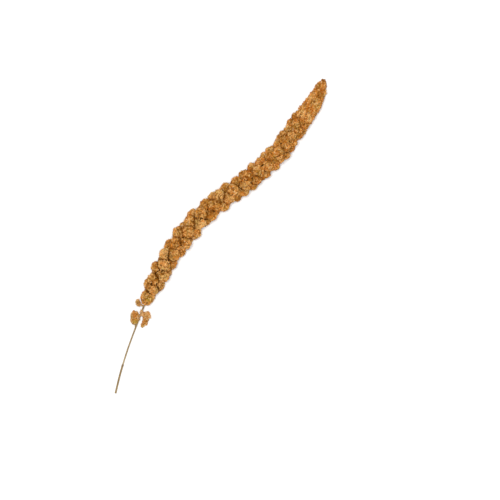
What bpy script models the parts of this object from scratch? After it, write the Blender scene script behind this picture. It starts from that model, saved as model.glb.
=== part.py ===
"""A cut head of foxtail millet lying on a surface: its straw stalk, the long spike of seed clusters and
three loose clusters on side twigs. X runs from the stalk's cut end to the tip, Z is up, and Z = 0 is the
surface that it lies on."""

import math
import random

import bmesh
import bpy
from mathutils import Matrix, Vector

MM = 0.001
FULL_TURN = 2 * math.pi

# Where the mid-line starts, so that the whole lies centred on the origin.
CUT_END = Vector((-160.1, -12.1, 0.0)) * MM

# The mid-line seen from above, as distances along and to the left of a line from the cut end to the tip.
MID_LINE = [
    (0, 0), (11, 4.1), (23, 8.1), (40, 12.9), (60, 17.6), (80, 21.8), (100, 24.7), (125, 26.0),
    (150, 25.0), (175, 20.2), (200, 11.6), (225, 3.4), (250, -1.8), (275, -2.8), (300, -2.6),
    (319, 0.3),
]

HEAD_START = 77.5  # where along X the head begins, in mm

# Along the head from base (0) to tip (1), in mm: its half width, its clusters and the run between them.
HALF_WIDTH = [
    (0.0, 5.4), (0.04, 7.1), (0.1, 8.5), (0.25, 9.5), (0.55, 9.4), (0.8, 8.9), (0.9, 7.5),
    (0.96, 5.5), (1.0, 3.2),
]
LOBE_RADIUS = [(0.0, 5.6), (0.45, 5.3), (0.6, 4.7), (0.75, 4.1), (0.9, 3.45), (1.0, 2.5)]
LOBE_STEP = [(0.0, 2.75), (0.45, 2.47), (0.6, 1.8), (0.75, 1.33), (0.9, 1.19), (1.0, 1.05)]

FIRST_TURN = math.radians(336)
LOBE_TURN = math.radians(138)
LOBE_SWAY = math.radians(5)
LOBE_SHIFT = 1.45  # along X, in mm
RADIUS_VARIES = 0.08
REACH_VARIES = 0.07
LOBE_LEAN = math.radians(28)  # how far a cluster leans from the side towards the tip
LOBE_STRETCH = 1.14
BASE_LOBE_AT = 6.4  # the long lowest cluster, from the head's start
BASE_LOBE_STRETCH = 1.35
SPIRAL_FROM = 14.0  # where the spiral of clusters begins, from the head's start
FEWER_SEEDS_UNDER = 4.1 * MM
SEED_RISE = 0.09
SEED_GROOVE = 0.10
# The core that carries the clusters, as a share of the half width, and how far it stays from the head's ends.
CORE_SHARE = [(0.0, 0.5), (0.5, 0.54), (0.7, 0.68), (1.0, 0.72)]
CORE_FROM_ENDS = 3.0
CORE_POINTS = 50
LAYOUT_SEED = 187
TIP_LOBE_AT = 1.5  # the last cluster, before the mid-line's end

HEAD_TRIANGLES = 11000
CLUSTER_TRIANGLES = 700

SINK = 0.9 * MM  # how deep the lowest clusters are pressed flat by the surface
BLOCK_SIZE = (0.5, 0.2, 0.03)

# The stalk's radius at places along X, in mm: it is thinner above its knot.
STEM_RADIUS = [(0.0, 0.75), (22.0, 0.75), (25.0, 0.6), (88.5, 0.56)]
STEM_IN_HEAD = 11.0
STEM_POINT_EVERY = 3.5
STEM_BOW = 1.5  # the stalk lies low at first and then rises into the head
TWIG_RADIUS = 0.45 * MM
GAP = 0.3 * MM
TUBE_SIDES = 2  # bevel resolution

# The loose clusters below the head. Each twig leaves the mid-line at a place along X and runs through points
# given as (along, left, height) in mm; the cluster's balls are (along, left, height, radius, stretch).
SIDE_CLUSTERS = {
    "side_cluster_left": {
        "leaves": 56.0,
        "twig": [(58.0, 18.6, 3.6), (60.8, 20.7, 3.6)],
        "balls": [(60.8, 21.1, 3.1, 3.3, 1.15), (64.3, 23.4, 3.4, 2.95, 1.25), (65.4, 20.9, 3.9, 1.6, 1.1)],
    },
    "side_cluster_right": {
        "leaves": 70.0,
        "twig": [(69.8, 18.1, 4.4), (69.4, 15.8, 4.1)],
        "balls": [(69.6, 14.5, 3.3, 3.4, 1.08), (64.2, 12.7, 2.6, 2.5, 1.35), (61.0, 12.8, 2.1, 1.75, 1.1)],
    },
    "side_cluster_upper": {
        "leaves": 74.5,
        "twig": [(75.0, 23.2, 5.0), (74.5, 25.2, 5.2)],
        "balls": [(74.2, 25.7, 5.2, 2.0, 1.1), (75.6, 27.4, 5.0, 1.7, 1.1)],
    },
}

SEED_COLOUR = (0.47, 0.215, 0.062, 1)
LOOSE_SEED_COLOUR = (0.50, 0.27, 0.10, 1)
STRAW_COLOUR = (0.42, 0.33, 0.19, 1)

OBJECT_NAME = "millet_seed_head"


def clear_scene():
    for old in list(bpy.data.objects):
        bpy.data.objects.remove(old)


def make_collection(name, cutters=False):
    made = bpy.data.collections.new(name)
    bpy.context.scene.collection.children.link(made)
    made.hide_render = cutters
    return made


def make_material(name, colour, roughness):
    material = bpy.data.materials.new(name)
    material.use_nodes = True
    shader = material.node_tree.nodes["Principled BSDF"]
    shader.inputs["Base Color"].default_value = colour
    shader.inputs["Roughness"].default_value = roughness
    shader.inputs["Metallic"].default_value = 0.0
    material.diffuse_color = colour
    return material


def between(table, share):
    """The value at a share of the way along a table of (share, value), in straight runs."""
    for (a, low), (b, high) in zip(table, table[1:]):
        if share <= b:
            return low + (high - low) * max(0.0, share - a) / (b - a)
    return table[-1][1]


def mid_line_left(x):
    """How far left of the base line the mid-line is at x, in mm: a smooth curve through its points."""
    points = MID_LINE
    i = max(k for k in range(len(points) - 1) if points[k][0] <= x or k == 0)
    (x0, y0), (x1, y1) = points[i], points[i + 1]

    def slope(k):
        before, after = points[max(k - 1, 0)], points[min(k + 1, len(points) - 1)]
        return (after[1] - before[1]) / (after[0] - before[0])

    span = x1 - x0
    t = min((x - x0) / span, 1.0)
    start = (2 * t**3 - 3 * t**2 + 1) * y0 + (t**3 - 2 * t**2 + t) * span * slope(i)
    return start + (3 * t**2 - 2 * t**3) * y1 + (t**3 - t**2) * span * slope(i + 1)


def head_share(x):
    return (x - HEAD_START) / (MID_LINE[-1][0] - HEAD_START)


def mid_line_height(x):
    """The mid-line's height in metres. The head lies on its clusters, and the stalk slopes down."""
    if x >= HEAD_START:
        return between(HALF_WIDTH, head_share(x)) * MM - SINK
    foot = STEM_RADIUS[0][1] * MM
    top = HALF_WIDTH[0][1] * MM - SINK
    rise = x / HEAD_START
    return foot + (top - foot) * rise**STEM_BOW


def mid_point(x):
    return CUT_END + Vector((x * MM, mid_line_left(x) * MM, mid_line_height(x)))


def frame_at(x):
    """The mid-line's point at x with its forward, left and upward directions."""
    forward = (mid_point(x + 0.5) - mid_point(x - 0.5)).normalized()
    left = Vector((0, 0, 1)).cross(forward).normalized()
    return mid_point(x), forward, left, forward.cross(left)


def head_lobes():
    """Each cluster of the head as (centre, direction it points in, radius, stretch), from base to tip."""
    draw = random.Random(LAYOUT_SEED)
    point, forward, _, _ = frame_at(HEAD_START + BASE_LOBE_AT)
    lobes = [(point, forward, LOBE_RADIUS[0][1] * MM, BASE_LOBE_STRETCH)]
    x = HEAD_START + SPIRAL_FROM
    turn = FIRST_TURN
    while x < MID_LINE[-1][0] - 1.0:
        share = head_share(x)
        radius = between(LOBE_RADIUS, share) * draw.uniform(1 - RADIUS_VARIES, 1 + RADIUS_VARIES)
        reach = between(HALF_WIDTH, share) * draw.uniform(1 - REACH_VARIES, 1 + REACH_VARIES)
        point, forward, left, up = frame_at(x + draw.uniform(-LOBE_SHIFT, LOBE_SHIFT))
        angle = turn + draw.uniform(-LOBE_SWAY, LOBE_SWAY)
        aside = left * math.sin(angle) + up * math.cos(angle)
        out = max(reach - radius, 0.0)
        direction = (aside * math.cos(LOBE_LEAN) + forward * math.sin(LOBE_LEAN)).normalized()
        lobes.append((point + aside * out * MM, direction, radius * MM, LOBE_STRETCH))
        x += between(LOBE_STEP, share)
        turn += LOBE_TURN
    point, forward, _, _ = frame_at(MID_LINE[-1][0] - TIP_LOBE_AT)
    lobes.append((point, forward, LOBE_RADIUS[-1][1] * MM, LOBE_STRETCH))
    return lobes


def seeded_lobe(name, centre, direction, radius, stretch, spin, few_seeds, collection):
    """One cluster: a ball pointing outwards whose surface is raised into seeds, with grooves between them."""
    shape = bmesh.new()
    if few_seeds:
        bmesh.ops.create_icosphere(shape, subdivisions=2, radius=1.0)
    else:
        bmesh.ops.create_icosphere(shape, subdivisions=1, radius=1.0)
        bmesh.ops.subdivide_edges(shape, edges=shape.edges[:], cuts=2, use_grid_fill=True)
    corners = {v for v in shape.verts if len(v.link_edges) == 5}
    for v in shape.verts:
        beside_corner = any(e.other_vert(v) in corners for e in v.link_edges)
        is_seed = v in corners or not beside_corner
        v.co = v.co.normalized() * (1 + SEED_RISE if is_seed else 1 - SEED_GROOVE)
    turned = direction.to_track_quat("Z", "Y").to_matrix().to_4x4()
    stretched = Matrix.Diagonal((radius, radius, radius * stretch, 1.0))
    placed = Matrix.Translation(centre) @ turned @ stretched @ Matrix.Rotation(spin, 4, (0.3, 0.5, 0.8))
    bmesh.ops.transform(shape, matrix=placed, verts=shape.verts)
    mesh = bpy.data.meshes.new(name)
    shape.to_mesh(mesh)
    shape.free()
    lobe = bpy.data.objects.new(name, mesh)
    collection.objects.link(lobe)
    return lobe


def tube(name, points, radii, collection):
    """A round tube along the points with a radius for each, its caps closed, as a mesh."""
    curve = bpy.data.curves.new(name, "CURVE")
    curve.dimensions = "3D"
    curve.bevel_depth = 1.0
    curve.bevel_resolution = TUBE_SIDES
    curve.use_fill_caps = True
    line = curve.splines.new("POLY")
    line.points.add(len(points) - 1)
    for spot, point, radius in zip(line.points, points, radii):
        spot.co = (*point, 1.0)
        spot.radius = radius
    drawn = bpy.data.objects.new(name + "_line", curve)
    collection.objects.link(drawn)
    graph = bpy.context.evaluated_depsgraph_get()
    mesh = bpy.data.meshes.new_from_object(drawn.evaluated_get(graph))
    shape = bmesh.new()
    shape.from_mesh(mesh)
    bmesh.ops.remove_doubles(shape, verts=shape.verts, dist=1e-6)
    bmesh.ops.recalc_face_normals(shape, faces=shape.faces)
    shape.to_mesh(mesh)
    shape.free()
    made = bpy.data.objects.new(name, mesh)
    made.matrix_world = drawn.matrix_world
    collection.objects.link(made)
    bpy.data.objects.remove(drawn)
    bpy.data.curves.remove(curve)
    return made


def apply_modifiers(piece):
    graph = bpy.context.evaluated_depsgraph_get()
    mesh = bpy.data.meshes.new_from_object(piece.evaluated_get(graph))
    piece.modifiers.clear()
    piece.data = mesh


def keep_largest_shell(piece):
    """Fills hollows that the union sealed and drops loose scraps, by keeping only the outer surface."""
    shape = bmesh.new()
    shape.from_mesh(piece.data)
    left = set(shape.verts)
    shells = []
    while left:
        start = left.pop()
        shell = {start}
        waiting = [start]
        while waiting:
            for edge in waiting.pop().link_edges:
                for end in edge.verts:
                    if end in left:
                        left.remove(end)
                        shell.add(end)
                        waiting.append(end)
        shells.append(shell)
    shells.sort(key=len)
    for shell in shells[:-1]:
        bmesh.ops.delete(shape, geom=list(shell), context="VERTS")
    shape.to_mesh(piece.data)
    shape.free()


def fuse(piece, others):
    """Joins every object of a collection to the piece in one body and removes them."""
    union = piece.modifiers.new("union", "BOOLEAN")
    union.operation = "UNION"
    union.operand_type = "COLLECTION"
    union.collection = others
    apply_modifiers(piece)
    for other in list(others.objects):
        bpy.data.objects.remove(other)
    bpy.data.collections.remove(others)
    keep_largest_shell(piece)


def thin_out(piece, triangles):
    """Merges the thin faces along the joins until about this many triangles are left."""
    piece.data.calc_loop_triangles()
    fewer = piece.modifiers.new("fewer faces", "DECIMATE")
    fewer.ratio = min(1.0, triangles / len(piece.data.loop_triangles))
    apply_modifiers(piece)


def cut(piece, cutter):
    difference = piece.modifiers.new("cut by " + cutter.name, "BOOLEAN")
    difference.operation = "DIFFERENCE"
    difference.object = cutter


def surface_block(collection):
    """A block under the surface, which presses the lowest clusters flat."""
    bpy.ops.mesh.primitive_cube_add(size=1.0)
    block = bpy.context.object
    block.name = "under_the_surface"
    block.data.transform(Matrix.Diagonal((*BLOCK_SIZE, 1.0)))
    block.data.transform(Matrix.Translation((0.0, 0.0, -BLOCK_SIZE[2] / 2)))
    for holder in list(block.users_collection):
        holder.objects.unlink(block)
    collection.objects.link(block)
    return block


def laid(along, left, height):
    """A point given along and left of the base line, in mm, as a place in metres."""
    return Vector((CUT_END.x + along * MM, CUT_END.y + left * MM, height * MM))


def lengthened(points, more):
    """The points with the last one moved on by a length."""
    on = (points[-1] - points[-2]).normalized()
    return points[:-1] + [points[-1] + on * more]


def stalk_and_twigs(name, extra, collection):
    """The stalk with its side twigs in one body. Extra thickness makes their room in the clusters."""
    end = HEAD_START + STEM_IN_HEAD
    count = round(end / STEM_POINT_EVERY)
    places = [end * k / count for k in range(count + 1)]
    radii = [between(STEM_RADIUS, x) * MM + extra for x in places]
    stalk = tube(name, lengthened([mid_point(x) for x in places], extra), radii, collection)
    twigs = make_collection(name + "_twigs")
    for cluster, shape in SIDE_CLUSTERS.items():
        points = [mid_point(shape["leaves"])] + [laid(*p) for p in shape["twig"]]
        tube(cluster + "_twig", lengthened(points, extra), [TWIG_RADIUS + extra] * 3, twigs)
    fuse(stalk, twigs)
    return stalk


def seed_head(collection):
    first, last = HEAD_START + CORE_FROM_ENDS, MID_LINE[-1][0] - CORE_FROM_ENDS
    stations = [first + (last - first) * k / CORE_POINTS for k in range(CORE_POINTS + 1)]
    shares = [head_share(x) for x in stations]
    core = [between(HALF_WIDTH, s) * between(CORE_SHARE, s) * MM for s in shares]
    head = tube("seed_head", [mid_point(x) for x in stations], core, collection)
    lobes = make_collection("head_lobes")
    draw = random.Random(LAYOUT_SEED + 1)
    for i, (centre, direction, radius, stretch) in enumerate(head_lobes()):
        few_seeds = radius < FEWER_SEEDS_UNDER
        spin = draw.uniform(0, FULL_TURN)
        seeded_lobe(f"lobe_{i}", centre, direction, radius, stretch, spin, few_seeds, lobes)
    fuse(head, lobes)
    thin_out(head, HEAD_TRIANGLES)
    return head


def side_cluster(name, balls, collection):
    made = make_collection(name + "_balls")
    draw = random.Random(name)
    way = laid(*balls[-1][:3]) - laid(*balls[0][:3])
    way.normalize()
    for i, (along, left, height, radius, stretch) in enumerate(balls):
        place = laid(along, left, height)
        spin = draw.uniform(0, FULL_TURN)
        seeded_lobe(f"{name}_{i}", place, way, radius * MM, stretch, spin, False, made)
    first = made.objects[0]
    made.objects.unlink(first)
    first.name = name
    collection.objects.link(first)
    fuse(first, made)
    thin_out(first, CLUSTER_TRIANGLES)
    return first


def build():
    clear_scene()
    parts = make_collection(OBJECT_NAME)
    cutters = make_collection("cutters", cutters=True)
    seed_material = make_material("golden_millet_seed", SEED_COLOUR, 0.75)
    loose_material = make_material("pale_loose_seed", LOOSE_SEED_COLOUR, 0.75)
    straw_material = make_material("dry_straw", STRAW_COLOUR, 0.6)

    stem = stalk_and_twigs("stem", 0.0, parts)
    stem.data.materials.append(straw_material)
    room_for_stem = stalk_and_twigs("room_for_stem", GAP, cutters)
    below = surface_block(cutters)

    head = seed_head(parts)
    head.data.materials.append(seed_material)
    clusters = [side_cluster(name, shape["balls"], parts) for name, shape in SIDE_CLUSTERS.items()]
    for cluster in clusters:
        cluster.data.materials.append(loose_material)
    for piece in [head, *clusters]:
        cut(piece, room_for_stem)
        cut(piece, below)
    for cutter in (room_for_stem, below):
        cutter.hide_render = True
        cutter.display_type = "WIRE"


build()
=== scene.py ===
import math
import random

import bmesh
import bpy
import numpy as np
from mathutils import Matrix, Vector, noise


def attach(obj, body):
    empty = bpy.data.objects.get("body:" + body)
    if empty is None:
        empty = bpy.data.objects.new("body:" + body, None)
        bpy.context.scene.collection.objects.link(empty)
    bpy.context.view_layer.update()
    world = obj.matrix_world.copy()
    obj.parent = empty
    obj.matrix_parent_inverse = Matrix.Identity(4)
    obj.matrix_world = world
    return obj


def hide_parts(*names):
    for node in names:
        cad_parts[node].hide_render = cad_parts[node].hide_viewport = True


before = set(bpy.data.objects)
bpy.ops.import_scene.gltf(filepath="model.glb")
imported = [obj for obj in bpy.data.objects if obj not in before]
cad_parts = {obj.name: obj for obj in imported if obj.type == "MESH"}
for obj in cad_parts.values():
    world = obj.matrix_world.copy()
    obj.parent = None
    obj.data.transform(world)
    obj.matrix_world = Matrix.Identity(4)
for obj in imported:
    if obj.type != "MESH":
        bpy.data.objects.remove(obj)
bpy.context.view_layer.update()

MM = 0.001
FULL_TURN = 2 * math.pi

# The sizes that the part has too: the mid-line from the stalk's cut end to the tip, the clusters of the
# head, the stalk and the loose clusters. A length without MM is in mm. A share runs from the head's base,
# 0, to its tip, 1, and tables of a share or a place along the mid-line give a value there.
CUT_END = Vector((-160.1, -12.1, 0.0)) * MM
MID_LINE = [
    (0, 0), (11, 4.1), (23, 8.1), (40, 12.9), (60, 17.6), (80, 21.8), (100, 24.7), (125, 26.0),
    (150, 25.0), (175, 20.2), (200, 11.6), (225, 3.4), (250, -1.8), (275, -2.8), (300, -2.6),
    (319, 0.3),
]
HEAD_START = 77.5  # where along the mid-line the head begins
HALF_WIDTH = [
    (0.0, 5.4), (0.04, 7.1), (0.1, 8.5), (0.25, 9.5), (0.55, 9.4), (0.8, 8.9), (0.9, 7.5),
    (0.96, 5.5), (1.0, 3.2),
]
LOBE_RADIUS = [(0.0, 5.6), (0.45, 5.3), (0.6, 4.7), (0.75, 4.1), (0.9, 3.45), (1.0, 2.5)]
LOBE_STEP = [(0.0, 2.75), (0.45, 2.47), (0.6, 1.8), (0.75, 1.33), (0.9, 1.19), (1.0, 1.05)]
FIRST_TURN = math.radians(336)
LOBE_TURN = math.radians(138)
LOBE_SWAY = math.radians(5)
LOBE_SHIFT = 1.45  # along the mid-line, to either side
RADIUS_VARIES = 0.08
REACH_VARIES = 0.07
LOBE_LEAN = math.radians(28)  # how far a cluster leans from the side towards the tip
LOBE_STRETCH = 1.14
BASE_LOBE_AT = 6.4  # the long lowest cluster, from the head's start
BASE_LOBE_STRETCH = 1.35
SPIRAL_FROM = 14.0  # where the spiral of clusters begins, from the head's start
SPIRAL_TO = 1.0  # and where it stops, before the mid-line's end
TIP_LOBE_AT = 1.5  # the last cluster, before the mid-line's end
LAYOUT_SEED = 187
SINK = 0.9 * MM  # how deep the lowest clusters are pressed flat by the surface
STEM_RADIUS = [(0.0, 0.75), (22.0, 0.75), (25.0, 0.6), (88.5, 0.56)]
STEM_IN_HEAD = 11.0
STEM_BOW = 1.5
TWIG_RADIUS = 0.45 * MM
# Each loose cluster: where its twig leaves the stalk, the twig's bend and end as (along, left, height),
# and the balls that make it up as (along, left, height, radius, stretch).
SIDE_CLUSTERS = {
    "side_cluster_left": {
        "leaves": 56.0,
        "twig": [(58.0, 18.6, 3.6), (60.8, 20.7, 3.6)],
        "balls": [
            (60.8, 21.1, 3.1, 3.3, 1.15),
            (64.3, 23.4, 3.4, 2.95, 1.25),
            (65.4, 20.9, 3.9, 1.6, 1.1),
        ],
    },
    "side_cluster_right": {
        "leaves": 70.0,
        "twig": [(69.8, 18.1, 4.4), (69.4, 15.8, 4.1)],
        "balls": [
            (69.6, 14.5, 3.3, 3.4, 1.08),
            (64.2, 12.7, 2.6, 2.5, 1.35),
            (61.0, 12.8, 2.1, 1.75, 1.1),
        ],
    },
    "side_cluster_upper": {
        "leaves": 74.5,
        "twig": [(75.0, 23.2, 5.0), (74.5, 25.2, 5.2)],
        "balls": [(74.2, 25.7, 5.2, 2.0, 1.1), (75.6, 27.4, 5.0, 1.7, 1.1)],
    },
}

# How far left of the part's mid-line the clusters lie, so that both edges fall as they do in life.
NUDGED = [
    (190, 0.0), (206, -0.7), (236, -0.5), (250, 0.0), (278, 0.0), (285, -0.3), (302, -1.0), (319, -0.2),
]
# Near the tip more grains fill the notches between the clusters, in balls along the mid-line.
TIP_FILLED = (284.0, 315.0, 2.5)  # from, to, step
TIP_FILLING = 0.94  # of the half width

# A grain, and how closely the grains sit on a cluster. The loose clusters have smaller grains.
GRAIN = (1.62 * MM, 1.48 * MM, 2.1 * MM)  # width, thickness, length
GRAIN_SIDES = 7
GRAIN_RINGS = 6
GRAIN_TIP_NARROWS = 0.28
GRAIN_SIZE_VARIES = 0.15
GRAIN_LEAN = 0.3  # towards the way that its cluster points
GRAIN_SWAY = 0.2
GRAIN_TRIES_APART = 0.55 * MM
GRAINS_APART = 0.98 * MM
GRAIN_SEED = 5
LOOSE_GRAIN_SCALE = 0.85
LOOSE_CHAFF_SCALE = 0.9
CLUSTER_REACH = 1.07  # how far the grains' tips stand out, over the cluster's radius
SEAT_DEPTH = 0.45  # how deep under the tips a grain's middle sits, over its length
CHAFF_DEPTH = 0.62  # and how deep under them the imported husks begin
NEIGHBOURS_WITHIN = 1.5  # the gap between two clusters' centres, over the sum of their reaches
FAR_OUTSIDE = 3.0  # the depth of a place that has no other cluster near
LOWEST_SEAT = -1.6 * MM
LIES_UNDER = 1.4  # a grain whose middle is lower than this many half thicknesses lies down
CHAFF_CLEARS = 0.3 * MM  # above the surface

# How uneven a cluster is, and how much painted shade the grains in its hollows get.
SURFACE_UNEVEN = 1.0 * MM
BUMP_FINENESS = 2.4
DIP_FROM = 0.1
DIP_STEEPNESS = 2.2
DIP_SHADE_MOST = 0.85
NOISE_SHIFT = 50.0

# How deep in a neighbour a grain is left out, how strong the painted shade in the creases is and how much
# paler the grains are, by the share along the head, with a last entry for the loose clusters.
LOOSE_SHARE = 1.1
HIDDEN_IN_NEIGHBOUR = [(0.0, 1.02), (0.5, 1.02), (0.8, 0.93), (1.0, 0.88), (LOOSE_SHARE, 0.86)]
CREASE_SHADE_SHOWS = [(0.0, 1.0), (0.5, 1.0), (0.75, 0.85), (1.0, 0.65), (LOOSE_SHARE, 0.25)]
PALER = [(0.0, 0.17), (0.3, 0.08), (0.6, 0.0), (1.0, -0.12), (LOOSE_SHARE, -0.08)]

# Painted shade in the creases: how dark a place is painted by its depth in the next cluster, where 1 is
# on that cluster's surface and more is outside it, and how that painted shade comes and goes along the
# head.
CREASE_SHADE_BY_DEPTH = [(1.0, 1.0), (1.1, 0.5), (1.3, 0.15), (1.7, 0.0)]
CREASE_SHADE_VARIES_OVER = 8.0 * MM
CREASE_SHADE_MIDDLE = 0.8
CREASE_SHADE_VARIES = 3.0
CREASE_SHADE_MOST = 1.5
# Pits, where a grain is missing.
PIT_SIZE = 1.7 * MM
PITS_FROM = 0.45  # a smaller number leaves more seats empty
PITS_IN_CREASES = 0.3

# A grain's tone runs from 0, deep, to 1, pale. It varies from grain to grain, from cluster to cluster
# and over larger patches, and painted light from above makes the upper side of the head paler than its
# flanks.
TONE_MIDDLE = 0.5
GRAIN_TONE_VARIES = 0.18
CLUSTER_TONE_VARIES = 0.13
PATCH_TONE_VARIES = 0.3
PATCH_SIZE = 4.5 * MM
# Painted light from above: from what share of the height, how steeply and how much paler the top is
# painted.
PAINTED_TOP_LIGHT_FROM = 0.75  # of the head's height
PAINTED_TOP_LIGHT_STEEPNESS = 0.45
PAINTED_TOP_LIGHT_MOST = 0.13
# Yellowish, less ripe places and rusty ones: along, left and how far they reach.
UNRIPE = [(82.3, 20.4, 3.2), (60.3, 20.0, 2.8), (60.8, 12.4, 1.6), (75.0, 27.4, 1.5)]
RUSTY = [(64.2, 12.4, 2.8), (69.6, 17.4, 2.4), (65.0, 22.4, 2.4)]
PLACE_STEEPNESS = 1.6  # how soon such a place reaches its full colour

# Small grains along the twigs: three points (along, left, height) to sit by, and how many there are.
TWIG_GRAINS = {
    "side_cluster_left": [([(67.2, 22.8, 3.4), (65.6, 20.2, 4.0), (62.6, 18.0, 4.4)], 30)],
    "side_cluster_right": [
        ([(71.0, 20.4, 4.4), (69.6, 18.0, 4.6), (67.8, 16.0, 4.0)], 50),
        ([(70.5, 20.2, 4.2), (67.0, 19.2, 4.4), (64.5, 18.6, 4.0)], 24),
    ],
    "side_cluster_upper": [([(74.6, 22.0, 5.2), (74.8, 23.2, 5.3), (74.4, 24.6, 5.2)], 10)],
}
TWIG_GRAIN_SIZE = (0.5, 0.68)
TWIG_GRAIN_TONE = (0.1, 0.6)
# How much painted shade the twig grains get, a random share between these.
TWIG_GRAIN_CREASE_SHADE = (0.0, 0.3)
TWIG_GRAIN_TURNS = 0.6
TWIG_GRAIN_ASIDE = 0.42
# Grains that fill the waists between a loose cluster's balls, given in the same way as the balls.
FILLED_WAISTS = {
    "side_cluster_left": [(62.5, 22.2, 3.3, 3.25, 1.0)],
    "side_cluster_right": [(68.7, 17.4, 4.2, 1.8, 1.0), (67.0, 13.6, 3.0, 2.6, 1.0)],
    "side_cluster_upper": [(74.9, 26.5, 5.1, 1.8, 1.0)],
}

# Papery husks and stiff bristles, beside a share of the grains.
HUSKED_SHARE = 0.35
HUSKED_ABOVE = 1.2 * MM
BRISTLED_SHARE = 0.25
BRISTLED_ABOVE = 2.0 * MM
BRISTLED_RISE = (-0.3, 0.55)  # how far up or down a bristled grain may point
BRISTLE = (1.6 * MM, 1.6 * MM, 2.4 * MM)

# Straw: its knots as (along, run, depth), how pale it has bleached along the stalk, and its ribs.
KNOTS = [(23.0, 0.9, 1.0), (56.0, 0.9, 0.5), (70.0, 0.9, 0.5), (73.5, 1.3, 0.9)]
KNOT_SWELL = 0.14
BLEACHED = [(23.5, 0.0), (25.0, 0.5), (28.0, 0.4), (31.0, 0.0)]
STALK_RINGS = 160
STALK_SIDES = 16
STALK_RIBS = 0.035
CUT_RIM = 0.18 * MM
CUT_HOLLOW = 0.35 * MM
TWIG_RINGS = 12
TWIG_SIDES = 8
TWIG_RIBS = 0.04
TWIG_FOOT = 1.1  # how thick a twig starts, over its radius
TWIG_TAPER = 0.3  # and how much of its radius it loses by its end
STREAKS_ALONG = 90.0  # units of the streaks' pattern to a metre of straw

# The photograph, from above: a pixel's length, where the cut end shows and how the head is turned.
PIXEL = 0.85 * MM
PHOTO_SIZE = 500
PHOTO_CUT_END = (115.6, 393.2)
PHOTO_TILT = math.radians(56.35)

# The camera, the light and the floor, in metres, watts and, for the sensor, mm.
CAMERA_HEIGHT = 2.2
SENSOR = 36.0
CLIP_NEAR = 0.05
CLIP_FAR = 20.0
TOP_LIGHT_AT = (0.0, 0.08, 1.8)
TOP_LIGHT_SIZE = 0.7
TOP_LIGHT_POWER = 29.0
ROOM_LIGHT = 0.32
FLOOR_REACH = 2.5


# The layout that the part and its looks share


def between(table, share):
    """The value at a share of the way along a table of (share, value), in straight runs."""
    for (a, low), (b, high) in zip(table, table[1:]):
        if share <= b:
            return low + (high - low) * max(0.0, share - a) / (b - a)
    return table[-1][1]


def clamped(value, low, high):
    return min(max(value, low), high)


def mid_line_left(x):
    """How far left the mid-line is at x, on a smooth curve through its points."""
    points = MID_LINE
    i = max(k for k in range(len(points) - 1) if points[k][0] <= x or k == 0)
    (x0, y0), (x1, y1) = points[i], points[i + 1]

    def slope(k):
        before, after = points[max(k - 1, 0)], points[min(k + 1, len(points) - 1)]
        return (after[1] - before[1]) / (after[0] - before[0])

    span = x1 - x0
    t = min((x - x0) / span, 1.0)
    start = (2 * t**3 - 3 * t**2 + 1) * y0 + (t**3 - 2 * t**2 + t) * span * slope(i)
    return start + (3 * t**2 - 2 * t**3) * y1 + (t**3 - t**2) * span * slope(i + 1)


def head_share(x):
    return (x - HEAD_START) / (MID_LINE[-1][0] - HEAD_START)


def mid_line_height(x):
    """The head's middle is at its half width less what is pressed flat, and the stalk rises to it."""
    if x >= HEAD_START:
        return between(HALF_WIDTH, head_share(x)) * MM - SINK
    foot = STEM_RADIUS[0][1] * MM
    top = HALF_WIDTH[0][1] * MM - SINK
    return foot + (top - foot) * max(x / HEAD_START, 0.0) ** STEM_BOW


def mid_point(x):
    return CUT_END + Vector((x * MM, mid_line_left(x) * MM, mid_line_height(x)))


def frame_at(x):
    """The mid-line's point at x with its forward, left and upward directions."""
    forward = (mid_point(x + 0.5) - mid_point(x - 0.5)).normalized()
    left = Vector((0, 0, 1)).cross(forward).normalized()
    return mid_point(x), forward, left, forward.cross(left)


def laid(along, left, height):
    return Vector((CUT_END.x + along * MM, CUT_END.y + left * MM, height * MM))


class Cluster:
    """A seed cluster: an egg round a centre, stretched along its direction.

    Its share says how far along the head it is, and painted light makes its grains palest at the top
    height.
    """

    def __init__(self, centre, direction, radius, stretch, share, top):
        self.centre = centre
        self.direction = direction
        self.radius = radius
        self.stretch = stretch
        self.share = share
        self.top = top
        self.turned = direction.to_track_quat("Z", "Y").to_matrix()

    def depth_of(self, places):
        """How far each place is from the centre, where 1 is on the cluster's surface."""
        own = (places - np.array(self.centre)) @ np.array(self.turned)
        return np.linalg.norm(own / (self.radius * np.array([1, 1, self.stretch])), axis=1)

    def touches(self, other):
        gap = (other.centre - self.centre).length
        return gap < NEIGHBOURS_WITHIN * (self.radius * self.stretch + other.radius * other.stretch)


def top_at(share):
    """How high the head stands at a share of the way along it."""
    return 2 * between(HALF_WIDTH, share) * MM


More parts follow.
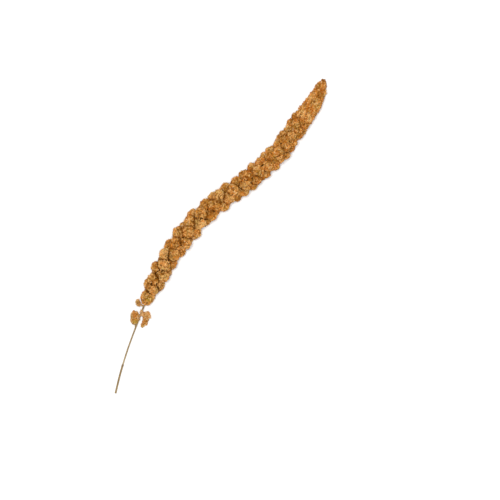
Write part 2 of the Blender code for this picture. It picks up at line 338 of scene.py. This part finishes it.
def head_clusters():
    """The long lowest cluster, the spiral of clusters round the mid-line and the one at the tip."""
    draw = random.Random(LAYOUT_SEED)
    head_end = MID_LINE[-1][0]
    point, forward, _, _ = frame_at(HEAD_START + BASE_LOBE_AT)
    clusters = [Cluster(point, forward, LOBE_RADIUS[0][1] * MM, BASE_LOBE_STRETCH, 0.0, top_at(0.0))]
    x = HEAD_START + SPIRAL_FROM
    turn = FIRST_TURN
    while x < head_end - SPIRAL_TO:
        share = head_share(x)
        radius = between(LOBE_RADIUS, share) * draw.uniform(1 - RADIUS_VARIES, 1 + RADIUS_VARIES)
        reach = between(HALF_WIDTH, share) * draw.uniform(1 - REACH_VARIES, 1 + REACH_VARIES)
        point, forward, left, up = frame_at(x + draw.uniform(-LOBE_SHIFT, LOBE_SHIFT))
        angle = turn + draw.uniform(-LOBE_SWAY, LOBE_SWAY)
        aside = left * math.sin(angle) + up * math.cos(angle)
        point += left * between(NUDGED, x) * MM
        out = max(reach - radius, 0.0)
        direction = (aside * math.cos(LOBE_LEAN) + forward * math.sin(LOBE_LEAN)).normalized()
        centre = point + aside * out * MM
        clusters.append(Cluster(centre, direction, radius * MM, LOBE_STRETCH, share, top_at(share)))
        x += between(LOBE_STEP, share)
        turn += LOBE_TURN
    point, forward, _, _ = frame_at(head_end - TIP_LOBE_AT)
    clusters.append(Cluster(point, forward, LOBE_RADIUS[-1][1] * MM, LOBE_STRETCH, 1.0, top_at(1.0)))
    return clusters


def tip_filling():
    """Balls along the mid-line whose grains fill the notches near the tip."""
    x, end, step = TIP_FILLED
    balls = []
    while x < end:
        point, forward, left, _ = frame_at(x)
        point += left * between(NUDGED, x) * MM
        share = head_share(x)
        radius = between(HALF_WIDTH, share) * TIP_FILLING * MM
        balls.append(Cluster(point, forward, radius, 1.0, share, top_at(share)))
        x += step
    return balls


def loose_clusters(balls):
    """A loose cluster's balls, stretched the way that its first two lie."""
    way = (laid(*balls[1][:3]) - laid(*balls[0][:3])).normalized()
    made = []
    for along, left, height, radius, stretch in balls:
        centre = laid(along, left, height)
        made.append(Cluster(centre, way, radius * MM, stretch, LOOSE_SHARE, centre.z))
    return made


# Where the grains sit


class Grain:
    """A grain's seat, the way that its tip points, its size and what its colour follows."""

    def __init__(self, seat, way, size, tone, crease_shade, share, spin):
        self.seat = seat
        self.way = way
        self.size = size
        self.tone = tone
        self.crease_shade = crease_shade
        self.share = share
        self.spin = spin
        self.unripe = patch_at(seat, UNRIPE)
        self.rusty = patch_at(seat, RUSTY)

    def placed(self, shape):
        """Where a unit shape on Z goes, at this width, thickness and length."""
        turned = self.way.to_track_quat("Z", "Y").to_matrix().to_4x4()
        sized = Matrix.Diagonal((*(s * self.size for s in shape), 1.0))
        return Matrix.Translation(self.seat) @ turned @ Matrix.Rotation(self.spin, 4, "Z") @ sized


class Seats:
    """The seats that are taken, in a grid of cells, so that a new one keeps its distance."""

    def __init__(self, apart):
        self.apart = apart
        self.cells = {}

    def take(self, seat):
        x, y, z = (int(c // self.apart) for c in seat)
        for i in (x - 1, x, x + 1):
            for j in (y - 1, y, y + 1):
                for k in (z - 1, z, z + 1):
                    for taken in self.cells.get((i, j, k), ()):
                        if (taken - seat).length_squared < self.apart**2:
                            return False
        self.cells.setdefault((x, y, z), []).append(seat)
        return True


def ball_points(count, draw):
    """Points spread evenly over a unit ball, in a random order."""
    start = draw.uniform(0, FULL_TURN)
    golden = math.pi * (3 - math.sqrt(5))
    points = []
    for k in range(count):
        z = 1 - 2 * (k + 0.5) / count
        wide = math.sqrt(1 - z * z)
        turn = start + golden * k
        points.append(Vector((wide * math.cos(turn), wide * math.sin(turn), z)))
    draw.shuffle(points)
    return points


def depths_in_others(places, cluster, clusters):
    """The least depth of each place in the clusters next to this one."""
    depths = np.full(len(places), FAR_OUTSIDE)
    for other in clusters:
        if other is not cluster and cluster.touches(other):
            depths = np.minimum(depths, other.depth_of(places))
    return depths


def cluster_seats(cluster, clusters, scale, draw):
    """Places for grains all over a cluster: seat, outward way, painted shade in its hollow, depth in
    others.
    """
    reach = cluster.radius * CLUSTER_REACH - GRAIN[2] * SEAT_DEPTH * scale
    area = 4 * math.pi * reach**2 * cluster.stretch
    shift = Vector([draw.uniform(-NOISE_SHIFT, NOISE_SHIFT) for _ in range(3)])
    seats, outwards, dip_shades = [], [], []
    for point in ball_points(int(area / (GRAIN_TRIES_APART * scale) ** 2), draw):
        bump = noise.noise(point * BUMP_FINENESS + shift)
        rise = reach + SURFACE_UNEVEN * bump
        # Painted shade: grains low in the bumpy surface are darkened.
        dip_shades.append(clamped(-bump * DIP_STEEPNESS - DIP_FROM, 0.0, 1.0) * DIP_SHADE_MOST)
        egg = Vector((point.x, point.y, point.z * cluster.stretch))
        seats.append(cluster.centre + cluster.turned @ egg * rise)
        slant = Vector((point.x, point.y, point.z / cluster.stretch)).normalized()
        outwards.append(cluster.turned @ slant)
    return zip(seats, outwards, dip_shades, depths_in_others(np.array(seats), cluster, clusters))


def patch_at(seat, patches):
    """How far a grain takes a patch's colour, from 0 to 1."""
    most = 0.0
    for along, left, reach in patches:
        place = laid(along, left, seat.z / MM)
        most = max(most, 1.0 - (place - seat).length / (reach * MM))
    return min(most * PLACE_STEEPNESS, 1.0)


def crease_shade_at(depth):
    """How much painted shade a place gets by its depth in the next cluster, from 0 to 1."""
    return between(CREASE_SHADE_BY_DEPTH, depth)


def lain_down(seat, way, room):
    """A grain at the surface lies on it, with room under its middle, instead of reaching through it."""
    if seat.z > room * LIES_UNDER:
        return seat, way
    flat = Vector((way.x, way.y, 0.0))
    if flat.length < 0.1:
        flat = Vector((1.0, 0.0, 0.0))
    return Vector((seat.x, seat.y, room)), flat.normalized()


def is_pit(seat, depth, scale):
    """Whether the grain at a seat is missing, which smaller grains show less and creases more."""
    pits_from = PITS_FROM / scale**3 - PITS_IN_CREASES * crease_shade_at(depth)
    return noise.noise(seat / PIT_SIZE) > pits_from


def tone_at(seat, cluster, cluster_tone, draw):
    """How pale a grain is, from 0 to 1: a draw of its own, its cluster, its patch and painted light by
    its height.
    """
    patch = noise.noise(seat / PATCH_SIZE) * PATCH_TONE_VARIES
    # Painted light: grains high on the head are paler, as if lit from above.
    painted_top_light = (seat.z / cluster.top - PAINTED_TOP_LIGHT_FROM) * PAINTED_TOP_LIGHT_STEEPNESS
    painted_top_light = clamped(painted_top_light, -PAINTED_TOP_LIGHT_MOST, PAINTED_TOP_LIGHT_MOST)
    return clamped(draw.gauss(TONE_MIDDLE, GRAIN_TONE_VARIES) + cluster_tone + patch + painted_top_light, 0.0, 1.0)


def grain_crease_shade(seat, cluster, depth, dip_shade):
    """Painted shade on a grain: in creases it comes and goes along the head, in hollows it is there all
    along.
    """
    varied = CREASE_SHADE_MIDDLE + CREASE_SHADE_VARIES * noise.noise(seat / CREASE_SHADE_VARIES_OVER)
    varied = clamped(varied, 0.0, CREASE_SHADE_MOST)
    return max(crease_shade_at(depth) * varied, dip_shade) * between(CREASE_SHADE_SHOWS, cluster.share)


def grains_on(clusters, scale, draw, filling=()):
    """Grains over the clusters and then the filling, none too near another or deep in a neighbour."""
    seats = Seats(GRAINS_APART * scale)
    grains = []
    for cluster in [*clusters, *filling]:
        cluster_tone = draw.gauss(0.0, CLUSTER_TONE_VARIES) + between(PALER, cluster.share)
        hidden_under = between(HIDDEN_IN_NEIGHBOUR, cluster.share)
        for seat, outward, dip_shade, depth in cluster_seats(cluster, clusters, scale, draw):
            if depth < hidden_under or seat.z < LOWEST_SEAT:
                continue
            if cluster in filling:
                depth = FAR_OUTSIDE
            if is_pit(seat, depth, scale):
                continue
            size = scale * draw.uniform(1 - GRAIN_SIZE_VARIES, 1 + GRAIN_SIZE_VARIES)
            sway = Vector([draw.gauss(0, GRAIN_SWAY) for _ in range(3)])
            way = (outward + cluster.direction * GRAIN_LEAN + sway).normalized()
            seat, way = lain_down(seat, way, GRAIN[1] * 0.5 * size)
            if not seats.take(seat):
                continue
            tone = tone_at(seat, cluster, cluster_tone, draw)
            crease_shade = grain_crease_shade(seat, cluster, depth, dip_shade)
            spin = draw.uniform(0, FULL_TURN)
            grains.append(Grain(seat, way, size, tone, crease_shade, cluster.share, spin))
    return grains


# Shapes


def as_mesh(name, shape):
    mesh = bpy.data.meshes.new(name)
    shape.to_mesh(mesh)
    shape.free()
    return mesh


def grain_shape():
    """A plump unit grain on Z, blunt at its foot and drawn in to a tip."""
    shape = bmesh.new()
    bmesh.ops.create_uvsphere(shape, u_segments=GRAIN_SIDES, v_segments=GRAIN_RINGS, radius=0.5)
    for v in shape.verts:
        narrowed = 1.0 - GRAIN_TIP_NARROWS * (v.co.z + 0.5) ** 4
        v.co.x *= narrowed
        v.co.y *= narrowed
    return as_mesh("grain", shape)


def husk_shape():
    """A small papery scale that wraps one side of a grain's lower half."""
    wide, thick, long = 0.8, 0.14, 0.85
    outside, wraps, lowered = 0.50, 0.9, 0.06
    shape = bmesh.new()
    bmesh.ops.create_icosphere(shape, subdivisions=1, radius=0.5)
    for v in shape.verts:
        v.co.x *= wide
        v.co.y = v.co.y * thick + outside - wraps * v.co.x**2
        v.co.z = v.co.z * long - lowered
    return as_mesh("husk", shape)


def bristle_shape():
    """A short stiff hair that starts beside a grain's foot and passes its tip."""
    foot, tip, beside, raised = 0.03, 0.006, 0.40, 0.25
    shape = bmesh.new()
    made = bmesh.ops.create_cone(shape, cap_ends=True, segments=3, radius1=foot, radius2=tip, depth=1.0)
    bmesh.ops.translate(shape, vec=(beside, 0.0, raised), verts=made["verts"])
    return as_mesh("bristle", shape)


def scatter(name, template, grains, size):
    """One mesh with the template once for each grain, and what the colours follow as attributes."""
    heights = [v.co.z + 0.5 for v in template.vertices]
    shape = bmesh.new()
    for grain in grains:
        one = template.copy()
        one.transform(grain.placed(size))
        shape.from_mesh(one)
        bpy.data.meshes.remove(one)
    mesh = as_mesh(name, shape)
    add_values(mesh, "height", np.tile(heights, len(grains)))
    for value in ("tone", "crease_shade", "unripe", "rusty"):
        add_values(mesh, value, np.repeat([getattr(grain, value) for grain in grains], len(heights)))
    return mesh


def add_values(mesh, name, values):
    layer = mesh.attributes.new(name, "FLOAT", "POINT")
    layer.data.foreach_set("value", np.asarray(values, dtype=np.float32))


def finish_piece(name, mesh, material, node):
    mesh.shade_smooth()
    mesh.materials.append(material)
    piece = bpy.data.objects.new(name, mesh)
    bpy.context.scene.collection.objects.link(piece)
    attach(piece, "root")
    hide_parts(node)
    return piece


def chaff(name, clusters, scale, material, node):
    """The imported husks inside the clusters, which show between the grains and in the creases."""
    shape = bmesh.new()
    crease_shade = shape.verts.layers.float.new("crease_shade")
    for cluster in clusters:
        inner = cluster.radius * CLUSTER_REACH - GRAIN[2] * CHAFF_DEPTH * scale
        made = bmesh.ops.create_icosphere(shape, subdivisions=2, radius=1.0)["verts"]
        sized = Matrix.Diagonal((inner, inner, inner * cluster.stretch, 1.0))
        placed = Matrix.Translation(cluster.centre) @ cluster.turned.to_4x4() @ sized
        bmesh.ops.transform(shape, matrix=placed, verts=made)
        depths = depths_in_others(np.array([v.co for v in made]), cluster, clusters)
        for v, depth in zip(made, depths):
            # Painted shade: husks deep in the next cluster, in the creases, are darkened.
            v[crease_shade] = crease_shade_at(depth) * between(CREASE_SHADE_SHOWS, cluster.share)
            v.co.z = max(v.co.z, CHAFF_CLEARS)
    finish_piece(name, as_mesh(name, shape), material, node)


# Straw


def straw(shape, points, radii, sides, ribs):
    """Adds a closed straw along the points to a shape, with ribs as a share of its radius.

    It gives the faces that close the straw's two ends.
    """
    around = shape.verts.layers.float_vector["around"]
    knot = shape.verts.layers.float["knot"]
    bleached = shape.verts.layers.float["bleached"]
    rings = []
    for k, (point, radius) in enumerate(zip(points, radii)):
        x = (point.x - CUT_END.x) / MM
        ahead = points[min(k + 1, len(points) - 1)] - points[max(k - 1, 0)]
        placed = Matrix.Translation(point) @ ahead.to_track_quat("Z", "Y").to_matrix().to_4x4()
        ring = bmesh.ops.create_circle(shape, segments=sides, radius=radius)["verts"]
        for i, v in enumerate(ring):
            v.co *= 1.0 + ribs * (-1) ** i
            v[around] = (v.co.x / radius, v.co.y / radius, point.x * STREAKS_ALONG)
            v[knot] = knot_at(x)
            v[bleached] = between(BLEACHED, x)
        bmesh.ops.transform(shape, matrix=placed, verts=ring)
        rings.append(list({e for v in ring for e in v.link_edges}))
    for one, other in zip(rings, rings[1:]):
        bmesh.ops.bridge_loops(shape, edges=one + other)
    return [bmesh.ops.contextual_create(shape, geom=end)["faces"] for end in (rings[0], rings[-1])]


def knot_at(x):
    """How much of a knot the stalk has at x: where it is jointed, and where twigs leave it."""
    return sum(depth * math.exp(-(((x - place) / run) ** 2)) for place, run, depth in KNOTS)


def stalk(material):
    """The ribbed stalk with its hollow cut end, and the tapering twigs of the loose clusters."""
    shape = bmesh.new()
    shape.verts.layers.float_vector.new("around")
    shape.verts.layers.float.new("knot")
    shape.verts.layers.float.new("bleached")
    end = HEAD_START + STEM_IN_HEAD
    places = [end * k / STALK_RINGS for k in range(STALK_RINGS + 1)]
    radii = [(between(STEM_RADIUS, x) + KNOT_SWELL * knot_at(x)) * MM for x in places]
    cut, _ = straw(shape, [mid_point(x) for x in places], radii, STALK_SIDES, STALK_RIBS)
    bmesh.ops.inset_region(shape, faces=cut, thickness=CUT_RIM, depth=-CUT_HOLLOW)
    for side in SIDE_CLUSTERS.values():
        bends = [mid_point(side["leaves"])] + [laid(*p) for p in side["twig"]]
        radii = [TWIG_RADIUS * (TWIG_FOOT - TWIG_TAPER * k / TWIG_RINGS) for k in range(TWIG_RINGS + 1)]
        straw(shape, smooth_run(bends, TWIG_RINGS), radii, TWIG_SIDES, TWIG_RIBS)
    bmesh.ops.recalc_face_normals(shape, faces=shape.faces)
    finish_piece("stalk_and_twigs", as_mesh("stalk_and_twigs", shape), material, "stem")


def smooth_run(bends, count):
    """Points on a curve that starts at the first bend, is drawn by the second and ends at the third."""
    a, b, c = bends
    points = []
    for k in range(count + 1):
        t = k / count
        points.append(a * (1 - t) ** 2 + b * 2 * t * (1 - t) + c * t**2)
    return points


# Finishes. On an object's own place, a noise's scale is about how many of its patches go to a metre.


def grey(value):
    return (value, value, value)


WHITE = grey(1.0)
BLACK = grey(0.0)
UNRIPE_GRAIN = (0.68, 0.42, 0.07)
RUSTY_GRAIN = (0.60, 0.25, 0.04)
OLIVE_TINT = (0.78, 0.81, 0.64)
CREAM_TINT = (0.97, 0.95, 0.90)
AMBER_TINT = (1.0, 0.84, 0.66)
MOTTLE_TINT = (0.76, 0.70, 0.60)
STAIN_TINT = (0.72, 0.66, 0.58)
VEIN_TINT = (0.78, 0.74, 0.68)
STRAW_STREAKS = [(0.3, (0.24, 0.16, 0.06)), (0.5, (0.36, 0.245, 0.105)), (0.72, (0.47, 0.345, 0.165))]
BLEACHED_STRAW = (0.58, 0.46, 0.27)
STRAW_KNOT = (0.20, 0.115, 0.04)
HUSK_CREASE_SHADE = (0.24, 0.09, 0.01)


class Finish:
    """A material under construction: small helpers that add its nodes and join them."""

    def __init__(self, name):
        self.material = bpy.data.materials.new(name)
        self.material.use_nodes = True
        self.nodes = self.material.node_tree.nodes
        self.links = self.material.node_tree.links
        self.shader = self.nodes["Principled BSDF"]

    def value(self, name):
        node = self.nodes.new("ShaderNodeAttribute")
        node.attribute_name = name
        return node.outputs["Fac"]

    def place(self):
        return self.nodes.new("ShaderNodeTexCoord").outputs["Object"]

    def vector(self, name):
        node = self.nodes.new("ShaderNodeAttribute")
        node.attribute_name = name
        return node.outputs["Vector"]

    def noise(self, where, scale, detail=2.0):
        node = self.nodes.new("ShaderNodeTexNoise")
        node.inputs["Scale"].default_value = scale
        node.inputs["Detail"].default_value = detail
        self.links.new(where, node.inputs["Vector"])
        return node.outputs["Fac"]

    def ramp(self, value, stops):
        node = self.nodes.new("ShaderNodeValToRGB")
        elements = node.color_ramp.elements
        while len(elements) < len(stops):
            elements.new(0.5)
        for element, (position, colour) in zip(elements, stops):
            element.position = position
            element.color = (*colour, 1.0)
        self.links.new(value, node.inputs["Fac"])
        return node.outputs["Color"]

    def mixed(self, share, one, other, blend="MIX"):
        """A colour between two. The share may be a number or a socket, and the other a plain colour."""
        node = self.nodes.new("ShaderNodeMix")
        node.data_type = "RGBA"
        node.blend_type = blend
        # A Mix node has its factor first, and its two colours at 6 and 7.
        self.links.new(one, node.inputs[6])
        for value, socket in ((share, node.inputs[0]), (other, node.inputs[7])):
            if isinstance(value, bpy.types.NodeSocket):
                self.links.new(value, socket)
            else:
                socket.default_value = (*value, 1.0) if isinstance(value, tuple) else value
        return node.outputs[2]

    def bump(self, height, distance, strength):
        node = self.nodes.new("ShaderNodeBump")
        node.inputs["Strength"].default_value = strength
        node.inputs["Distance"].default_value = distance
        self.links.new(height, node.inputs["Height"])
        self.links.new(node.outputs["Normal"], self.shader.inputs["Normal"])

    def done(self, colour, roughness, shine=0.5):
        self.links.new(colour, self.shader.inputs["Base Color"])
        self.shader.inputs["Roughness"].default_value = roughness
        self.shader.inputs["Specular IOR Level"].default_value = shine
        return self.material


def grain_finish(name, deep, golden, pale, foot, crease_shade):
    """Satin seeds from deep to pale, paler at the foot, dark at the tip, spotted and mottled, with
    painted shade.
    """
    finish = Finish(name)
    colour = finish.ramp(finish.value("tone"), [(0.1, deep), (0.5, golden), (0.9, pale)])
    husked = finish.ramp(finish.value("height"), [(0.3, WHITE), (0.6, BLACK)])
    colour = finish.mixed(husked, colour, foot)
    colour = finish.mixed(finish.value("unripe"), colour, UNRIPE_GRAIN)
    colour = finish.mixed(finish.value("rusty"), colour, RUSTY_GRAIN)
    tips = finish.ramp(finish.value("height"), [(0.90, BLACK), (0.99, grey(0.7))])
    colour = finish.mixed(tips, colour, crease_shade)
    patches = finish.noise(finish.place(), scale=230.0)
    patches = finish.ramp(patches, [(0.40, OLIVE_TINT), (0.5, CREAM_TINT), (0.60, AMBER_TINT)])
    colour = finish.mixed(1.0, colour, patches, "MULTIPLY")
    spots = finish.ramp(finish.noise(finish.place(), scale=420.0), [(0.54, BLACK), (0.62, grey(0.7))])
    colour = finish.mixed(spots, colour, pale)
    mottle = finish.ramp(finish.noise(finish.place(), scale=900.0), [(0.3, MOTTLE_TINT), (0.65, WHITE)])
    colour = finish.mixed(0.7, colour, mottle, "MULTIPLY")
    # Painted shade: grains in the creases between clusters and in a cluster's hollows darken to the shade
    # colour.
    colour = finish.mixed(finish.value("crease_shade"), colour, crease_shade)
    finish.bump(finish.noise(finish.place(), scale=2600.0), distance=0.06 * MM, strength=0.5)
    return finish.done(colour, roughness=0.5, shine=0.1)


def chaff_finish(name, dark, pale, crease_shade):
    """Dull, rough packed husks, with painted shade that darkens them into the creases."""
    finish = Finish(name)
    colour = finish.ramp(finish.noise(finish.place(), scale=700.0), [(0.3, dark), (0.7, pale)])
    # Painted shade in the creases.
    colour = finish.mixed(finish.value("crease_shade"), colour, crease_shade)
    finish.bump(finish.noise(finish.place(), scale=1500.0), distance=0.3 * MM, strength=0.8)
    return finish.done(colour, roughness=0.85, shine=0.1)


def straw_finish(name):
    """Straw streaked along its length and stained across it, with bleached runs and dark knots."""
    finish = Finish(name)
    streaks = finish.ramp(finish.noise(finish.vector("around"), scale=1.3, detail=3.0), STRAW_STREAKS)
    stains = finish.ramp(finish.noise(finish.place(), scale=220.0), [(0.35, STAIN_TINT), (0.6, WHITE)])
    colour = finish.mixed(0.7, streaks, stains, "MULTIPLY")
    colour = finish.mixed(finish.value("bleached"), colour, BLEACHED_STRAW)
    colour = finish.mixed(finish.value("knot"), colour, STRAW_KNOT)
    finish.bump(finish.noise(finish.place(), scale=1800.0), distance=0.08 * MM, strength=0.6)
    return finish.done(colour, roughness=0.55, shine=0.2)


def husk_finish(name, dull, pale):
    """Thin papery scales and hairs with a trace of veins and painted shade in the creases."""
    finish = Finish(name)
    colour = finish.ramp(finish.value("tone"), [(0.1, dull), (0.8, pale)])
    veins = finish.ramp(finish.noise(finish.place(), scale=1400.0), [(0.4, VEIN_TINT), (0.6, WHITE)])
    colour = finish.mixed(0.8, colour, veins, "MULTIPLY")
    # Painted shade: scales and hairs in the creases darken.
    colour = finish.mixed(finish.value("crease_shade"), colour, HUSK_CREASE_SHADE)
    finish.bump(finish.noise(finish.place(), scale=3000.0), distance=0.05 * MM, strength=0.5)
    return finish.done(colour, roughness=0.6, shine=0.25)


def floor_finish():
    finish = Finish("pale_paper")
    colour = finish.ramp(finish.noise(finish.place(), scale=6.0), [(0.3, grey(0.965)), (0.7, grey(0.98))])
    return finish.done(colour, roughness=0.9)


# The floor, the light and the camera


def camera():
    """Looks straight down on the middle of the photograph, turned as the photograph is."""
    middle = PHOTO_SIZE / 2
    dx = (middle - PHOTO_CUT_END[0]) * PIXEL
    dy = (PHOTO_CUT_END[1] - middle) * PIXEL
    along = dx * math.cos(PHOTO_TILT) + dy * math.sin(PHOTO_TILT)
    left = dy * math.cos(PHOTO_TILT) - dx * math.sin(PHOTO_TILT)
    data = bpy.data.cameras.new("camera")
    data.sensor_width = SENSOR
    data.lens = SENSOR * CAMERA_HEIGHT / (PHOTO_SIZE * PIXEL)
    data.clip_start = CLIP_NEAR
    data.clip_end = CLIP_FAR
    made = bpy.data.objects.new("camera", data)
    made.location = (CUT_END.x + along, CUT_END.y + left, CAMERA_HEIGHT)
    made.rotation_euler = (0.0, 0.0, -PHOTO_TILT)
    bpy.context.scene.collection.objects.link(made)
    bpy.context.scene.camera = made


def soft_light(name, place, size, power):
    """A round light that faces the middle of the object."""
    data = bpy.data.lights.new(name, "AREA")
    data.shape = "DISK"
    data.size = size
    data.energy = power
    made = bpy.data.objects.new(name, data)
    made.location = place
    made.rotation_euler = (-Vector(place)).to_track_quat("-Z", "Y").to_euler()
    bpy.context.scene.collection.objects.link(made)


def studio():
    """A soft white room, one round light above and a pale floor."""
    world = bpy.data.worlds.new("soft_white_room")
    world.use_nodes = True
    background = world.node_tree.nodes["Background"]
    background.inputs["Color"].default_value = (*WHITE, 1.0)
    background.inputs["Strength"].default_value = ROOM_LIGHT
    bpy.context.scene.world = world
    soft_light("top_light", TOP_LIGHT_AT, TOP_LIGHT_SIZE, TOP_LIGHT_POWER)
    shape = bmesh.new()
    bmesh.ops.create_grid(shape, x_segments=1, y_segments=1, size=FLOOR_REACH)
    mesh = as_mesh("floor", shape)
    mesh.materials.append(floor_finish())
    floor = bpy.data.objects.new("floor", mesh)
    bpy.context.scene.collection.objects.link(floor)
    bpy.context.scene.view_settings.view_transform = "Standard"


# The dressed seed head. Its grains are shared out over pieces, so that none is too large.

HEAD_STRETCHES = ("base", "lower", "middle", "upper", "tip")


def strip_of_grains(points, count, draw):
    """Small grains that sit along a twig, drawn round a line through the points."""
    grains = []
    line = smooth_run([laid(*p) for p in points], count)
    for point, ahead in zip(line, line[1:]):
        turned = Vector([draw.gauss(0, TWIG_GRAIN_TURNS) for _ in range(3)])
        way = ((ahead - point).normalized() + turned).normalized()
        aside = Vector([draw.gauss(0, TWIG_GRAIN_ASIDE) for _ in range(3)]) * MM
        size = draw.uniform(*TWIG_GRAIN_SIZE)
        tone = draw.uniform(*TWIG_GRAIN_TONE)
        # A random share of painted shade.
        crease_shade = draw.uniform(*TWIG_GRAIN_CREASE_SHADE)
        grains.append(Grain(point + aside, way, size, tone, crease_shade, share=0.0, spin=0.0))
    return grains


def seed_head(draw):
    """The long head: grains in five stretches, the husks packed inside, papery scales and bristles."""
    golden = grain_finish(
        "golden_grain",
        deep=(0.46, 0.155, 0.012),
        golden=(0.70, 0.305, 0.052),
        pale=(0.92, 0.56, 0.21),
        foot=(0.66, 0.33, 0.085),
        crease_shade=(0.21, 0.064, 0.001),
    )
    husky = chaff_finish(
        "packed_husks",
        dark=(0.20, 0.075, 0.006),
        pale=(0.36, 0.15, 0.02),
        crease_shade=(0.09, 0.028, 0.001),
    )
    clusters = head_clusters()
    filling = tip_filling()
    grains = sorted(grains_on(clusters, 1.0, draw, filling), key=lambda grain: grain.share)
    grain = grain_shape()
    count = math.ceil(len(grains) / len(HEAD_STRETCHES))
    for k, stretch in enumerate(HEAD_STRETCHES):
        own = grains[k * count:(k + 1) * count]
        name = "head_grains_" + stretch
        finish_piece(name, scatter(name, grain, own, GRAIN), golden, "seed_head")
    chaff("head_chaff", clusters + filling, 1.0, husky, "seed_head")
    husks_and_bristles("head", grains, draw, "seed_head")


def stands_aside(grain):
    """Whether a grain points sideways rather than up or down, well above the surface."""
    lowest, highest = BRISTLED_RISE
    return lowest < grain.way.z < highest and grain.seat.z > BRISTLED_ABOVE


def husks_and_bristles(name, grains, draw, node):
    """Papery scales beside some grains, and a few short stiff hairs that stand out sideways."""
    husked = [grain for grain in grains if draw.random() < HUSKED_SHARE and grain.seat.z > HUSKED_ABOVE]
    scales = scatter(name + "_husks", husk_shape(), husked, GRAIN)
    papery = husk_finish(name + "_papery_husk", dull=(0.62, 0.36, 0.13), pale=(0.86, 0.62, 0.36))
    finish_piece(name + "_husks", scales, papery, node)
    bristled = [grain for grain in grains if draw.random() < BRISTLED_SHARE and stands_aside(grain)]
    hairs = scatter(name + "_bristles", bristle_shape(), bristled, BRISTLE)
    stiff = husk_finish(name + "_bristle", dull=(0.46, 0.27, 0.09), pale=(0.66, 0.45, 0.20))
    finish_piece(name + "_bristles", hairs, stiff, node)


def side_clusters(draw):
    """The loose clusters, paler than the head, with small grains along their twigs."""
    loose = grain_finish(
        "loose_grain",
        deep=(0.46, 0.19, 0.035),
        golden=(0.70, 0.36, 0.11),
        pale=(0.88, 0.59, 0.28),
        foot=(0.66, 0.40, 0.16),
        crease_shade=(0.24, 0.09, 0.01),
    )
    husky = chaff_finish(
        "loose_husks",
        dark=(0.34, 0.145, 0.020),
        pale=(0.54, 0.26, 0.05),
        crease_shade=(0.12, 0.04, 0.002),
    )
    grain = grain_shape()
    for name, side in SIDE_CLUSTERS.items():
        clusters = loose_clusters(side["balls"] + FILLED_WAISTS[name])
        grains = grains_on(clusters, LOOSE_GRAIN_SCALE, draw)
        for points, count in TWIG_GRAINS[name]:
            grains += strip_of_grains(points, count, draw)
        packed = scatter(name + "_grains", grain, grains, GRAIN)
        finish_piece(name + "_grains", packed, loose, name)
        scale = LOOSE_GRAIN_SCALE * LOOSE_CHAFF_SCALE
        chaff(name + "_chaff", clusters, scale, husky, name)
        husks_and_bristles(name, grains, draw, name)


def main():
    draw = random.Random(GRAIN_SEED)
    seed_head(draw)
    side_clusters(draw)
    stalk(straw_finish("dry_straw"))
    camera()
    studio()


main()
